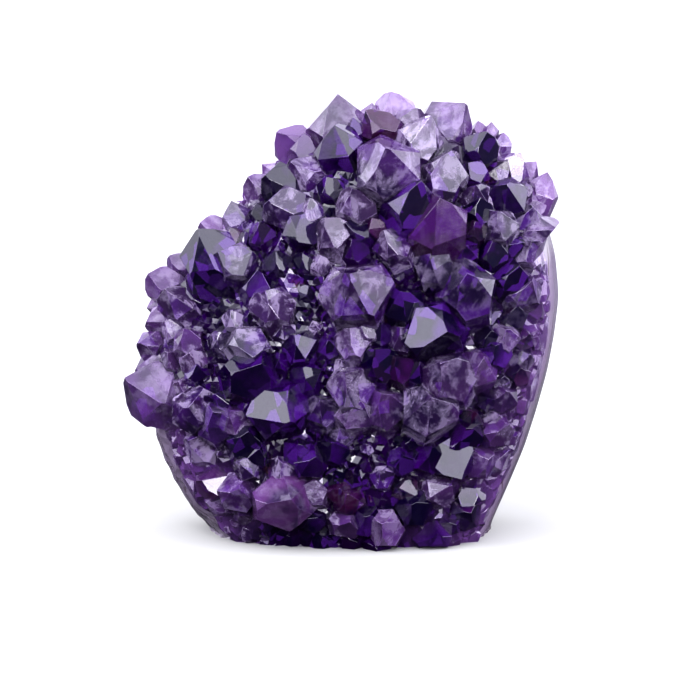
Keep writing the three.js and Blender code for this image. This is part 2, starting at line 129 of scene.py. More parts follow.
# The main crystals, read from the photograph: tip and heart (the middle of the tip's base) in
# pixels, width in millimetres, the way one sharp edge runs down from the tip in degrees
# anticlockwise from the right, and the tone.
MAIN_CRYSTALS = (
    # along the top edge, from left to right
    ((249, 178), (261, 189), 8, 200, "pale"),
    ((278, 134), (297, 147), 11.5, 0, "slate"),
    ((267, 177), (283, 183), 11, 330, "slate"),
    ((304, 134), (305, 150), 8, 250, "deep"),
    ((338, 97), (335, 119), 14, 250, "pale"),
    ((335, 128), (343, 149), 12, 230, "slate"),
    ((353, 119), (357, 131), 6, 270, "deep"),
    ((372, 104), (369, 120), 7.5, 240, "pale"),
    ((366, 112), (377, 127), 9, 310, "wine"),
    ((391, 94), (394, 114), 10.5, 280, "pale"),
    ((417, 110), (411, 123), 8, 200, "lilac"),
    ((464, 106), (448, 122), 13, 190, "pale"),
    ((430, 119), (420, 140), 11.5, 240, "milky"),
    ((478, 121), (478, 131), 4.5, 270, "pale"),
    ((491, 123), (490, 132), 4.5, 250, "lilac"),
    ((486, 134), (480, 149), 9.5, 275, "slate"),
    ((503, 133), (501, 147), 5.5, 270, "pale"),
    ((520, 154), (514, 166), 9, 230, "pale"),
    ((536, 162), (528, 173), 6, 220, "lilac"),
    ((547, 173), (541, 192), 8.5, 250, "lilac"),
    # upper field
    ((291, 163), (304, 174), 9, 340, "milky"),
    ((327, 178), (330, 190), 7, 280, "slate"),
    ((385, 152), (388, 171), 17, 270, "milky"),
    ((451, 152), (445, 174), 11, 240, "milky"),
    ((507, 162), (499, 172), 7, 220, "wine"),
    ((468, 164), (472, 173), 7, 300, "deep"),
    ((506, 186), (514, 197), 10, 320, "slate"),
    ((476, 187), (476, 197), 7.5, 200, "milky"),
    ((488, 196), (488, 204), 4.5, 270, "lilac"),
    ((270, 202), (284, 209), 10.5, 330, "bright"),
    ((257, 204), (251, 209), 5, 250, "slate"),
    ((310, 199), (311, 214), 8, 280, "milky"),
    ((420, 184), (410, 212), 13, 250, "slate"),
    ((439, 201), (440, 226), 15, 265, "wine"),
    ((352, 190), (356, 204), 10, 270, "milky"),
    # left flank
    ((232, 202), (229, 214), 8, 240, "pale"),
    ((201, 223), (213, 229), 7.5, 330, "pale"),
    ((201, 231), (204, 255), 14, 290, "slate"),
    ((231, 229), (235, 240), 6, 280, "wine"),
    ((219, 253), (232, 264), 10.5, 308, "bright"),
    ((170, 256), (177, 265), 7, 300, "pale"),
    ((149, 274), (160, 284), 9, 320, "pale"),
    ((193, 272), (201, 285), 8, 300, "deep"),
    ((186, 281), (190, 297), 7.5, 300, "deep"),
    ((167, 290), (180, 303), 10, 320, "milky"),
    ((148, 308), (157, 306), 5, 0, "lilac"),
    ((147, 322), (157, 320), 7, 0, "lilac"),
    ((246, 232), (246, 241), 5, 270, "slate"),
    ((243, 221), (241, 227), 4, 270, "bright"),
    ((165, 321), (169, 327), 7, 300, "lilac"),
    ((185, 330), (184, 343), 7.5, 270, "lilac"),
    ((140, 343), (151, 344), 8, 0, "pale"),
    ((168, 339), (168, 343), 3.5, 270, "bright"),
    ((138, 369), (150, 368), 10, 0, "pale"),
    ((169, 353), (171, 360), 6, 290, "lilac"),
    ((190, 353), (182, 363), 7.5, 220, "lilac"),
    ((127, 378), (146, 400), 15, 310, "pale"),
    ((161, 394), (166, 402), 4.5, 300, "slate"),
    ((197, 365), (197, 373), 6.5, 270, "slate"),
    # middle of the field, from top to bottom
    ((299, 243), (299, 229), 10, 130, "slate"),
    ((318, 237), (311, 229), 5.5, 140, "slate"),
    ((325, 219), (332, 234), 9.5, 290, "lilac"),
    ((346, 224), (357, 232), 7.5, 330, "slate"),
    ((372, 219), (374, 228), 6, 280, "wine"),
    ((352, 240), (355, 249), 7.5, 280, "deep"),
    ((384, 232), (392, 246), 9.5, 310, "milky"),
    ((276, 252), (278, 262), 7, 300, "slate"),
    ((303, 254), (305, 262), 5.5, 290, "slate"),
    ((321, 256), (320, 265), 5.5, 270, "lilac"),
    ((258, 271), (255, 287), 8, 250, "slate"),
    ((350, 275), (356, 293), 16.5, 300, "milky"),
    ((430, 253), (433, 266), 10, 290, "bright"),
    ((433, 273), (432, 282), 6, 270, "deep"),
    ((400, 292), (402, 304), 10, 280, "slate"),
    ((266, 292), (271, 307), 10.5, 310, "milky"),
    ((231, 311), (234, 318), 5.5, 290, "bright"),
    ((250, 311), (250, 316), 4, 270, "slate"),
    ((219, 332), (221, 342), 6.5, 280, "bright"),
    ((284, 323), (282, 338), 6, 270, "milky"),
    ((350, 329), (354, 346), 9, 300, "lilac"),
    ((360, 323), (367, 331), 7, 310, "milky"),
    ((382, 324), (381, 339), 6.5, 270, "slate"),
    ((400, 328), (403, 343), 7.5, 290, "milky"),
    ((446, 332), (434, 328), 15, 130, "slate"),
    ((295, 336), (302, 350), 8.5, 300, "slate"),
    ((328, 341), (327, 353), 5.5, 270, "slate"),
    ((280, 353), (280, 363), 6, 290, "slate"),
    ((254, 357), (252, 351), 10.5, 180, "bright"),
    ((262, 364), (246, 379), 14, 225, "slate"),
    ((303, 368), (308, 382), 8, 310, "slate"),
    ((374, 350), (377, 367), 10, 290, "deep"),
    ((396, 358), (400, 371), 8.5, 280, "wine"),
    ((420, 362), (420, 377), 8, 280, "deep"),
    ((342, 361), (342, 367), 5, 270, "milky"),
    ((345, 373), (350, 387), 12, 300, "milky"),
    ((440, 364), (449, 383), 13.5, 300, "milky"),
    ((290, 420), (282, 409), 14.5, 125, "slate"),
    ((381, 394), (383, 411), 10, 280, "lilac"),
    ((360, 401), (356, 416), 10.5, 250, "lilac"),
    ((430, 398), (427, 412), 14, 270, "milky"),
    ((399, 396), (399, 404), 4.5, 270, "slate"),
    ((320, 400), (320, 419), 9.5, 280, "bright"),
    ((216, 394), (223, 403), 6, 320, "slate"),
    ((206, 384), (206, 389), 4, 300, "slate"),
    ((205, 396), (207, 406), 7, 280, "deep"),
    ((190, 407), (178, 416), 11.5, 210, "milky"),
    ((214, 412), (211, 430), 10, 270, "bright"),
    ((232, 411), (236, 427), 8, 280, "lilac"),
    ((244, 402), (247, 413), 6, 290, "slate"),
    # right flank
    ((480, 199), (477, 212), 8, 270, "slate"),
    ((497, 213), (502, 228), 10, 290, "milky"),
    ((532, 208), (528, 219), 8, 250, "bright"),
    ((560, 232), (546, 235), 10, 180, "lilac"),
    ((530, 242), (533, 251), 8, 290, "milky"),
    ((523, 243), (513, 246), 6.5, 190, "slate"),
    ((492, 243), (492, 253), 7, 270, "deep"),
    ((475, 222), (476, 232), 6, 280, "wine"),
    ((465, 246), (466, 252), 6.5, 270, "deep"),
    ((466, 275), (468, 289), 14.5, 258, "bright"),
    ((518, 267), (515, 286), 10, 250, "slate"),
    ((533, 279), (530, 295), 10, 260, "pale"),
    ((545, 253), (543, 261), 5.5, 260, "lilac"),
    ((517, 306), (514, 315), 7, 250, "wine"),
    ((505, 330), (510, 345), 8, 290, "lilac"),
    ((491, 331), (490, 340), 6.5, 260, "slate"),
    ((528, 334), (528, 343), 6, 270, "wine"),
    ((541, 336), (541, 343), 5, 250, "pale"),
    ((494, 346), (499, 358), 8, 300, "slate"),
    ((483, 358), (481, 377), 9.5, 265, "lilac"),
    ((528, 355), (531, 365), 6.5, 290, "pale"),
    ((520, 368), (519, 378), 6.5, 260, "wine"),
    ((504, 376), (502, 383), 5, 250, "bright"),
    ((505, 391), (505, 402), 7.5, 270, "lilac"),
    ((487, 398), (487, 405), 5.5, 270, "slate"),
    ((459, 400), (459, 407), 5, 270, "slate"),
    ((472, 412), (470, 421), 6.5, 280, "wine"),
    ((498, 415), (498, 426), 6.5, 270, "lilac"),
    ((508, 424), (505, 437), 9, 250, "lilac"),
    # lower field and base
    ((249, 431), (243, 443), 9, 240, "slate"),
    ((260, 449), (254, 457), 7, 220, "slate"),
    ((240, 461), (247, 472), 7.5, 310, "bright"),
    ((266, 476), (266, 482), 3.8, 270, "bright"),
    ((283, 463), (282, 480), 7.5, 280, "milky"),
    ((298, 444), (297, 457), 8, 270, "slate"),
    ((316, 456), (308, 470), 9.5, 240, "slate"),
    ((332, 443), (333, 457), 8, 290, "slate"),
    ((340, 428), (341, 438), 6, 280, "bright"),
    ((367, 445), (367, 452), 3.5, 280, "bright"),
    ((379, 471), (385, 483), 6, 300, "bright"),
    ((403, 455), (401, 470), 7, 265, "slate"),
    ((418, 452), (418, 464), 5, 270, "slate"),
    ((432, 447), (432, 462), 8.5, 280, "deep"),
    ((461, 478), (455, 461), 10.5, 90, "slate"),
    ((465, 428), (465, 441), 10, 280, "deep"),
    ((415, 434), (413, 441), 5, 260, "slate"),
    ((487, 459), (495, 475), 9, 300, "pale"),
    ((484, 468), (484, 476), 3.5, 280, "slate"),
    ((203, 480), (212, 488), 8.5, 320, "wine"),
    ((190, 440), (192, 452), 8, 300, "milky"),
    ((240, 488), (231, 502), 10, 230, "lilac"),
    ((207, 502), (218, 510), 7, 310, "lilac"),
    ((292, 498), (275, 515), 14.5, 220, "orchid"),
    ((301, 488), (312, 504), 8, 310, "lilac"),
    ((340, 488), (341, 494), 6.5, 200, "wine"),
    ((347, 494), (348, 508), 8, 280, "wine"),
    ((399, 487), (409, 496), 6.5, 330, "wine"),
    ((451, 485), (440, 497), 8, 220, "lilac"),
    ((411, 504), (416, 515), 9, 300, "slate"),
    ((466, 511), (470, 498), 7.5, 60, "slate"),
    ((308, 518), (309, 530), 6.5, 280, "slate"),
    ((350, 521), (340, 532), 8, 230, "lilac"),
    ((365, 516), (365, 530), 8, 290, "slate"),
    ((382, 523), (386, 540), 9, 300, "lilac"),
    ((437, 533), (435, 543), 8.5, 250, "slate"),
    ((456, 524), (460, 533), 6.5, 310, "slate"),
    ((470, 512), (480, 521), 8.5, 320, "wine"),
    ((240, 515), (240, 521), 5, 270, "lilac"),
)

# What each tone is made of: how pale, how milky and how wine-red its quartz is, from 0 to 1.
TONES = {
    "deep": (0.0, 0.0, 0.1),
    "wine": (0.02, 0.1, 0.5),
    "orchid": (0.45, 0.3, 0.8),
    "slate": (0.0, 0.02, 0.04),
    "lilac": (0.38, 0.65, 0.15),
    "milky": (0.2, 1.0, 0.1),
    "bright": (0.14, 0.7, 0.0),
    "pale": (0.45, 0.5, 0.1),
}


# The view

def on_sheet(across, down):
    """A pixel, as a point on the upright sheet through the origin that faces the view."""
    return (view_right * (across - FOOT_PIXEL[0]) + view_up * (FOOT_PIXEL[1] - down)) * PIXEL


EYE = on_sheet(*MIDDLE_PIXEL) - view_ahead * VIEW_DISTANCE


def to_pixel(place):
    """The pixel at which a point shows."""
    ray = place - EYE
    on_view = ray * (VIEW_DISTANCE / ray.dot(view_ahead))
    across = MIDDLE_PIXEL[0] + on_view.dot(view_right) / PIXEL
    down = MIDDLE_PIXEL[1] - on_view.dot(view_up) / PIXEL
    return across, down


def make_camera():
    data = bpy.data.cameras.new("camera")
    data.sensor_width = SENSOR
    data.lens = SENSOR * VIEW_DISTANCE / (FRAME_PIXELS * PIXEL)
    camera = bpy.data.objects.new("camera", data)
    camera.location = EYE
    camera.rotation_euler = (math.pi / 2 - VIEW_DROP, 0, 0)
    bpy.context.scene.collection.objects.link(camera)
    bpy.context.scene.camera = camera


# The body

def smoothstep(value, low, high):
    share = min(max((value - low) / (high - low), 0), 1)
    return share * share * (3 - 2 * share)


def node_mesh(name):
    """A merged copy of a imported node's mesh."""
    shape = bmesh.new()
    shape.from_mesh(frame["nodes"][name].data)
    bmesh.ops.remove_doubles(shape, verts=shape.verts, dist=0.001 * MM)
    return shape


body_low, body_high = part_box("geode_body")
packed_body = node_mesh("geode_body")
body_tree = BVHTree.FromBMesh(packed_body)
DOME_MIDDLE = Vector(((body_low.x + body_high.x) / 2, 0, 58 * MM))


def bare_at(place):
    """1 where the rim is bare, 0 where crystals grow over it, by the direction from the middle."""
    turned = math.degrees(math.atan2(place.z - DOME_MIDDLE.z, place.x - DOME_MIDDLE.x))
    return max(
        smoothstep(turned, low - BARE_FADE, low) * (1 - smoothstep(turned, high, high + BARE_FADE))
        for low, high in BARE_STRETCHES)


def end_depth_at(place):
    """The depth at which the crystals end."""
    return GROWN_DEPTH + (BARE_DEPTH - GROWN_DEPTH) * bare_at(place)


def below_the_base(hit):
    """A place on the sawn base, moved down on to walls that go on under it, so that it can be cut clean."""
    foot = Vector((DOME_MIDDLE.x, (body_low.y + body_high.y) / 2, 1 * MM))
    out = Vector((hit.x - foot.x, hit.y - foot.y, 0))
    wall = body_tree.ray_cast(foot, out.normalized())[0] - foot
    share = out.length / wall.length
    reach = min(share / 0.8, 1)
    depth = UNDER_BASE * min((1 - min(share, 1)) / 0.2, 1)
    return Vector((foot.x + wall.x * reach, foot.y + wall.y * reach, -depth))


def body_form(subdivisions):
    """The body's form, smooth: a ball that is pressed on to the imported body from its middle."""
    form = bmesh.new()
    bmesh.ops.create_icosphere(form, subdivisions=subdivisions, radius=1)
    for vert in form.verts:
        hit = body_tree.ray_cast(DOME_MIDDLE, vert.co.normalized())[0]
        vert.co = below_the_base(hit) if hit.z < 0.05 * MM else hit
    soft = [vert for vert in form.verts if vert.co.z > 2 * MM]
    for _ in range(4 ** (subdivisions - 5)):
        bmesh.ops.smooth_vert(form, verts=soft, factor=0.5, use_axis_x=True, use_axis_y=True,
                              use_axis_z=True)
    form.normal_update()
    return form


def grown_out(form, thickness_at):
    """A copy of the form, thicker by a thickness that may change from place to place."""
    copy = form.copy()
    for vert in copy.verts:
        vert.co += vert.normal * thickness_at(vert.co)
    copy.normal_update()
    return copy


def floor_thickness(place):
    end = end_depth_at(place)
    return CRUST_FLOOR - (CRUST_FLOOR + 2 * MM) * smoothstep(place.y, end - 2 * MM, end + 4 * MM)


def new_piece(name, shape):
    mesh = bpy.data.meshes.new(name)
    shape.to_mesh(mesh)
    shape.free()
    piece = bpy.data.objects.new(name, mesh)
    bpy.context.scene.collection.objects.link(piece)
    return piece


# The crystals

class Chance:
    """Repeatable random numbers, the same for the same seed as in the solids."""

    def __init__(self, seed):
        self.state = seed & 0xffffffff

    def random(self):
        self.state = (self.state + 0x6d2b79f5) & 0xffffffff
        mixed = (self.state ^ self.state >> 15) * (1 | self.state) & 0xffffffff
        mixed ^= mixed + ((mixed ^ mixed >> 7) * (61 | mixed) & 0xffffffff) & 0xffffffff
        return (mixed ^ mixed >> 14) / 4294967296


def crystal_faces(chance):
    """The twelve faces' normals and their reach from the heart, for a crystal of half width 1."""
    favoured = 2 * int(3 * chance.random())
    faces = []
    for side in range(6):
        turn = math.pi / 3 * side + math.pi / 6
        out = Vector((math.cos(turn), math.sin(turn), 0))
        faces.append((out, 0.88 + 0.24 * chance.random()))
        if side == favoured:
            grown = -0.1 * chance.random()
        elif side % 2 == 0:
            grown = 0.1 * chance.random()
        else:
            grown = 0.06 + 0.26 * chance.random()
        tip = out * math.sin(TIP_FACE_TILT) + Vector((0, 0, math.cos(TIP_FACE_TILT)))
        faces.append((tip, math.sin(TIP_FACE_TILT) + grown))
    return faces


def grow_crystal(crystal):
    """A quartz crystal: a block cut down by six side faces and six tip faces, then set in place."""
    half = crystal.width / 2
    shape = bmesh.new()
    bmesh.ops.create_cube(shape, size=1)
    bmesh.ops.scale(shape, vec=(8 * half, 8 * half, crystal.stem + 4 * half), verts=shape.verts)
    bmesh.ops.translate(shape, vec=(0, 0, 2 * half - crystal.stem / 2), verts=shape.verts)
    for normal, reach in crystal_faces(crystal.chance):
        opened = bmesh.ops.bisect_plane(
            shape, geom=shape.verts[:] + shape.edges[:] + shape.faces[:],
            plane_co=normal * reach * half, plane_no=normal, clear_outer=True)
        rim = [part for part in opened["geom_cut"] if isinstance(part, bmesh.types.BMEdge)]
        if len(rim) > 2:
            bmesh.ops.edgeloop_fill(shape, edges=rim)
    apex = max((vert.co.copy() for vert in shape.verts), key=lambda co: co.z)
    bmesh.ops.bevel(shape, geom=shape.edges[:], offset=EDGE_WEAR, offset_type="OFFSET", affect="EDGES",
                    segments=1, profile=0.5, material=-1)
    bmesh.ops.recalc_face_normals(shape, faces=shape.faces[:])
    shape.transform(Matrix.Rotation(crystal.ridge, 4, "Z"))
    apex.rotate(Matrix.Rotation(crystal.ridge, 3, "Z"))
    # as the viewer sees it: X to the right, Y up, and the axis towards them
    across = (view_right - crystal.axis * view_right.dot(crystal.axis)).normalized()
    turned = Matrix((across, crystal.axis.cross(across), crystal.axis)).transposed()
    beside_axis = turned @ Vector((apex.x, apex.y, 0))
    shape.transform(Matrix.Translation(crystal.heart - beside_axis) @ turned.to_4x4())
    return shape


class Crystal:
    """Where one crystal grows, which way, how wide, and of which tone."""

    def __init__(self, heart, axis, width, stem, ridge, tone, chance):
        self.heart = heart
        self.axis = axis.normalized()
        self.width = width
        self.stem = stem
        self.ridge = ridge
        self.tone = tone
        self.chance = chance


def dome_under(across, down):
    """Where the body's dome shows at a pixel, and its normal there."""
    ray = (on_sheet(across, down) - EYE).normalized()
    place, normal = body_tree.ray_cast(EYE, ray)[:2]
    if place is None:
        middle_ray = ray * (DOME_MIDDLE - EYE).length
        normal = body_tree.find_nearest(EYE + middle_ray)[1]
        place = EYE + middle_ray
    return place, normal


def straightened(axis, normal):
    """The axis, turned back towards the dome's normal where it leans too far from it."""
    lean = axis.angle(normal)
    return axis if lean <= MOST_LEAN else normal.slerp(axis, MOST_LEAN / lean)


def main_crystals():
    grown = []
    for tip, heart, width_mm, ridge, tone in MAIN_CRYSTALS:
        width = width_mm * PARTLY_HIDDEN * MM
        tip_height = TIP_HEIGHT * width / 2
        lean = Vector((tip[0] - heart[0], heart[1] - tip[1])) * PIXEL / tip_height
        if lean.length > MOST_SIDEWAYS:
            lean = lean.normalized() * MOST_SIDEWAYS
        axis = view_right * lean.x + view_up * lean.y - view_ahead * math.sqrt(1 - lean.length_squared)
        axis = straightened(axis, dome_under(*heart)[1])
        # the tip stays where it shows, and the heart goes under it
        heart_pixel = (tip[0] - axis.dot(view_right) * tip_height / PIXEL,
                       tip[1] + axis.dot(view_up) * tip_height / PIXEL)
        place, normal = dome_under(*heart_pixel)
        ray = (place - EYE).normalized()
        place = place - ray * (STAND_OUT * width / max(-normal.dot(ray), LEAST_FACING))
        stem = width * STEM[0] + STEM[1]
        chance = Chance(SEED_STEP * tip[0] + tip[1])
        grown.append(Crystal(place, axis, width, stem, math.radians(ridge), tone, chance))
    return grown


def tone_near(place, main, chance):
    """A small crystal takes after a main one near it."""
    near = sorted(main, key=lambda other: (other.heart - place).length_squared)[:4]
    return near[int(4 * chance.random())].tone


def fill_crystals(main, chance):
    """Small crystals wherever the main ones leave room, on the dome and round its rough edge."""
    faces = [face for face in packed_body.faces if face.normal.y < 0.2]
    areas = [face.calc_area() for face in faces]
    grown = []
    for _ in range(FILL_TRIES):
        face = chance.choices(faces, areas)[0]
        shares = [chance.expovariate(1) for _ in face.verts]
        place = sum((vert.co * share for vert, share in zip(face.verts, shares)), Vector()) / sum(shares)
        width = FILL_WIDTH[0] + (FILL_WIDTH[1] - FILL_WIDTH[0]) * chance.random() ** FILL_CROWDING
        lean = math.tan(FILL_LEAN * math.sqrt(chance.random()))
        lean_turn = chance.uniform(0, 2 * math.pi)
        ridge = chance.uniform(0, 2 * math.pi)
        if place.y > end_depth_at(place) or place.z < 0.5 * MM:
            continue
        heart = place + face.normal * chance.uniform(*FILL_STAND_OUT) * width
        if any((other.heart - heart).length < FILL_SPACING * (other.width + width)
               for other in main + grown):
            continue
        sideways = Vector((math.cos(lean_turn), 0, math.sin(lean_turn)))
        rise = FILL_RISE * max(0.5 - face.normal.z, 0)
        axis = face.normal + sideways * lean + Vector((0, 0, rise))
        tone = tone_near(place, main, chance)
        if chance.random() < DEEP_SHARE * smoothstep(-place.y, *DEEP_IN_FRONT):
            tone = "deep"
        stem = width * STEM[0] + STEM[2]
        grown.append(Crystal(heart, axis, width, stem, ridge, tone, Chance(len(grown))))
    return grown


def crystal_object(crystal, index, chance, folder):
    shape = grow_crystal(crystal)
    mesh = bpy.data.meshes.new(f"crystal_{index}")
    shape.to_mesh(mesh)
    shape.free()
    pale = TONES[crystal.tone][0]
    colour = [share * chance.uniform(*TONE_SPREAD) for share in TONES[crystal.tone]]
    growth = mesh.attributes.new("growth", "FLOAT_COLOR", "FACE")
    edge_face_area = (EDGE_WEAR * 2) * crystal.width
    for face, mark in zip(mesh.polygons, growth.data):
        # the bevelled edges are paler than the faces, partly by wear and partly as a painted edge
        # highlight, and each face has a chance of its own
        paler = EDGE_WEAR_AND_HIGHLIGHT[0] + EDGE_WEAR_AND_HIGHLIGHT[1] * pale if face.area < edge_face_area else 0
        shares = (colour[0] + paler, *colour[1:3], chance.random())
        mark.color = [min(max(share, 0), 1) for share in shares]
    folder.objects.link(bpy.data.objects.new(f"crystal_{index}", mesh))


def cut(piece, tool, operation):
    """A boolean by another object, or by all the objects of a collection."""
    step = piece.modifiers.new("cut", "BOOLEAN")
    step.operation = operation
    step.solver = "MANIFOLD"
    if isinstance(tool, bpy.types.Collection):
        step.operand_type = "COLLECTION"
        step.collection = tool
    else:
        step.object = tool
    finished = bpy.data.meshes.new_from_object(piece.evaluated_get(bpy.context.evaluated_depsgraph_get()))
    piece.modifiers.clear()
    piece.data = finished


def below_base():
    block = bmesh.new()
    bmesh.ops.create_cube(block, size=0.5)
    bmesh.ops.translate(block, vec=(0, 0, -0.25), verts=block.verts)
    return new_piece("below_base", block)


def trimming_tool():
    """What is left after the rim was ground: a tube that leans in where the rim is bare."""
    tube = bmesh.new()
    growth = tube.faces.layers.float_color.new("growth")
    rings = [[], [], []]
    for step in range(TRIM_STEPS):
        turn = 2 * math.pi * step / TRIM_STEPS
        out = Vector((math.cos(turn), 0, math.sin(turn)))
        rim = body_tree.ray_cast(DOME_MIDDLE, out)[0]
        reach = (rim - DOME_MIDDLE).length
        if rim.z < 0.5 * MM:
            reach = reach / TRIMMED_SHARE + 3 * MM  # the sawn base needs no trimming
        bare = bare_at(DOME_MIDDLE + out * reach)
        trimmed = reach * TRIMMED_SHARE + 1 * MM
        ripple = 0.5 * MM * noise.noise(out * 9)
        for ring, (depth, inwards) in zip(rings, ((BARE_DEPTH - TRIM_REACH, TRIM_REACH * TRIM_SLOPE),
                                                  (BARE_DEPTH, 0), (60 * MM, 0))):
            at = reach + 40 * MM + (trimmed - inwards + ripple - reach - 40 * MM) * bare
            ring.append(tube.verts.new(DOME_MIDDLE + out * at + Vector((0, depth, 0))))
    for first, second in zip(rings, rings[1:]):
        for step in range(TRIM_STEPS):
            after = (step + 1) % TRIM_STEPS
            tube.faces.new((first[step], first[after], second[after], second[step]))
    tube.faces.new(rings[0])
    tube.faces.new(rings[2])
    bmesh.ops.recalc_face_normals(tube, faces=tube.faces[:])
    for face in tube.faces:
        face[growth] = GROUND_GROWTH
    return new_piece("trimming_tool", tube)


def largest_part(piece):
    """The piece without the crumbs that the cuts left loose, and without closed hollows."""
    shape = bmesh.new()
    shape.from_mesh(piece.data)
    left = set(shape.verts)
    parts = []
    while left:
        part = {left.pop()}
        edge_of_part = list(part)
        while edge_of_part:
            vert = edge_of_part.pop()
            for edge in vert.link_edges:
                other = edge.other_vert(vert)
                if other in left:
                    left.remove(other)
                    part.add(other)
                    edge_of_part.append(other)
        parts.append(part)
    parts.sort(key=len)
    for part in parts[:-1]:
        bmesh.ops.delete(shape, geom=list(part), context="VERTS")
    shape.to_mesh(piece.data)
    shape.free()


def mark_sites(crust, form):
    """What each point of the crust knows of its place: height over the floor, rust, and the bare rim."""
    form_tree = BVHTree.FromBMesh(form)
    rust_places = [dome_under(*pixel)[0] for pixel in RUST_PIXELS]
    site = crust.data.attributes.new("site", "FLOAT_COLOR", "POINT")
    for vert, mark in zip(crust.data.vertices, site.data):
        height = form_tree.find_nearest(vert.co)[3]
        rusty = max(1 - (vert.co - place).length / RUST_REACH for place in rust_places)
        end = end_depth_at(vert.co)
        near_rim = smoothstep(vert.co.y, end - NEAR_RIM[0], end - NEAR_RIM[1])
        mark.color = (min(height / FULL_HEIGHT, 1), max(rusty, 0), near_rim, 1)


def make_crust(form, ground):
    chance = random.Random(FILL_SEED)
    main = main_crystals()
    fill = fill_crystals(main, chance)
    folder = bpy.data.collections.new("crystals")
    bpy.context.scene.collection.children.link(folder)
    for index, crystal in enumerate(main + fill):
        crystal_object(crystal, index, chance, folder)
    # the floor between the crystals is a druse of tiny faces
    floor = grown_out(form, lambda place: floor_thickness(place) + chance.uniform(*DRUSE))
    crust = new_piece("amethyst_crust", floor)
    growth = crust.data.attributes.new("growth", "FLOAT_COLOR", "FACE")
    for face in growth.data:
        face.color = DRUSE_GROWTH
    bedding = new_piece("bedding", grown_out(form, lambda place: CRUST_GAP))
    trimming = trimming_tool()
    cut(crust, folder, "UNION")
    cut(crust, bedding, "DIFFERENCE")
    cut(crust, trimming, "INTERSECT")
    cut(crust, ground, "DIFFERENCE")
    largest_part(crust)
    mark_sites(crust, form)
    for crystal in list(folder.objects) + [bedding, trimming]:
        bpy.data.objects.remove(crystal)
    bpy.data.collections.remove(folder)
    print(len(main), "main and", len(fill), "fill crystals,", len(crust.data.polygons), "faces,",
          sum(len(face.vertices) - 2 for face in crust.data.polygons), "triangles")
    return crust


def skin_at(place):
    """1 on the rough skin at the back, 0 on the polished rim and everywhere in front of it."""
    ragged = 5 * MM * noise.noise(place * 70)
    return smoothstep(place.y + ragged, SKIN_DEPTH - 2 * MM, SKIN_DEPTH + 4 * MM)


def broken_at(place):
    """1 on the lower left, where the skin is broken away."""
    turned = math.degrees(math.atan2(place.z - DOME_MIDDLE.z, place.x - DOME_MIDDLE.x))
    low, high = BARE_STRETCHES[1]
    around = smoothstep(turned, low - BARE_FADE, low) * (1 - smoothstep(turned, high, high + BARE_FADE))
    return around * (1 - smoothstep(place.y, -2 * MM, 8 * MM))


def body_relief(place):
    """How far the stone's surface stands out from the smooth form."""
    above_base = smoothstep(place.z, 1 * MM, 6 * MM)
    skin = skin_at(place) * above_base
    swell = noise.fractal(place * 60, 1.0, 2.0, 3) * 0.9 * MM
    pits = -0.5 * MM * max(0.35 - noise.voronoi(place * 220)[0][0], 0)
    grain = noise.fractal(place * 420, 0.9, 2.1, 3) * 0.18 * MM
    broken = broken_at(place) * above_base
    near, beyond = noise.voronoi(place * 190)[0][:2]
    chips = (near - 0.5 * beyond) * 1.6 * MM
    return skin * (swell + pits + grain) + broken * chips - 0.35 * MM * skin


def make_body(ground):
    form = body_form(7)
    body = new_piece("geode_stone", grown_out(form, body_relief))
    form.free()
    cut(body, ground, "DIFFERENCE")
    body.data.materials.clear()
    site = body.data.attributes.new("site", "FLOAT_COLOR", "POINT")
    for vert, mark in zip(body.data.vertices, site.data):
        sawn = 1 if vert.co.z < 0.01 * MM else 0
        mark.color = (skin_at(vert.co), broken_at(vert.co), sawn, 1)
    for face in body.data.polygons:
        face.use_smooth = face.center.z > 0.01 * MM and broken_at(face.center) < 0.3
    return body


# Materials

NIGHT = (0.003, 0.0001, 0.022, 1)
# the next two are painted light seen through the crystal: a violet glow and bright glinting planes
PAINTED_GLOW = (0.048, 0.0014, 0.15, 1)
PAINTED_GLINT = (0.095, 0.016, 0.26, 1)
WINE = (0.065, 0.003, 0.042, 1)
LILAC = (0.15, 0.066, 0.23, 1)
MILK = (0.46, 0.38, 0.56, 1)
RUST = (0.36, 0.115, 0.03, 1)
ABSORBED = (0.4, 0.05, 0.72, 1)
ABSORBED_DENSITY = 1000.0
QUARTZ_IOR = 1.544
RIM_GREY = (0.139, 0.118, 0.158, 1)
RIM_PALE = (0.23, 0.22, 0.234, 1)
RIM_BAND = (0.114, 0.0958, 0.123, 1)
RIM_LILAC = (0.154, 0.105, 0.185, 1)
CRACK = (0.0336, 0.0123, 0.0056, 1)
SPECK = (0.0196, 0.00672, 0.00448, 1)
SKIN_DARK = (0.028, 0.0224, 0.0202, 1)
SKIN_PALE = (0.0728, 0.0616, 0.056, 1)
STAIN = (0.056, 0.0308, 0.0168, 1)
DUST = (0.112, 0.104, 0.101, 1)
BROKEN = (0.112, 0.0868, 0.132, 1)

def new_material(name):
    material = bpy.data.materials.new(name)
    material.use_nodes = True
    return material, material.node_tree


def add(tree, kind, inputs=(), **settings):
    """A node with its settings; an input is a plain value or another node's output."""
    node = tree.nodes.new(kind)
    for key, value in settings.items():
        setattr(node, key, value)
    for key, value in dict(inputs).items():
        if isinstance(value, bpy.types.NodeSocket):
            tree.links.new(value, node.inputs[key])
        else:
            node.inputs[key].default_value = value
    return node


def mix_colour(tree, share, first, second):
    node = add(tree, "ShaderNodeMix", data_type="RGBA")
    for socket, value in zip((node.inputs[0], node.inputs[6], node.inputs[7]), (share, first, second)):
        if isinstance(value, bpy.types.NodeSocket):
            tree.links.new(value, socket)
        else:
            socket.default_value = value
    return node.outputs[2]


def stretch(tree, value, low, high, to_low=0.0, to_high=1.0):
    node = add(tree, "ShaderNodeMapRange", {0: value, 1: low, 2: high, 3: to_low, 4: to_high})
    return node.outputs[0]


def calculate(tree, operation, first, second=0.0):
    return add(tree, "ShaderNodeMath", {0: first, 1: second}, operation=operation).outputs[0]


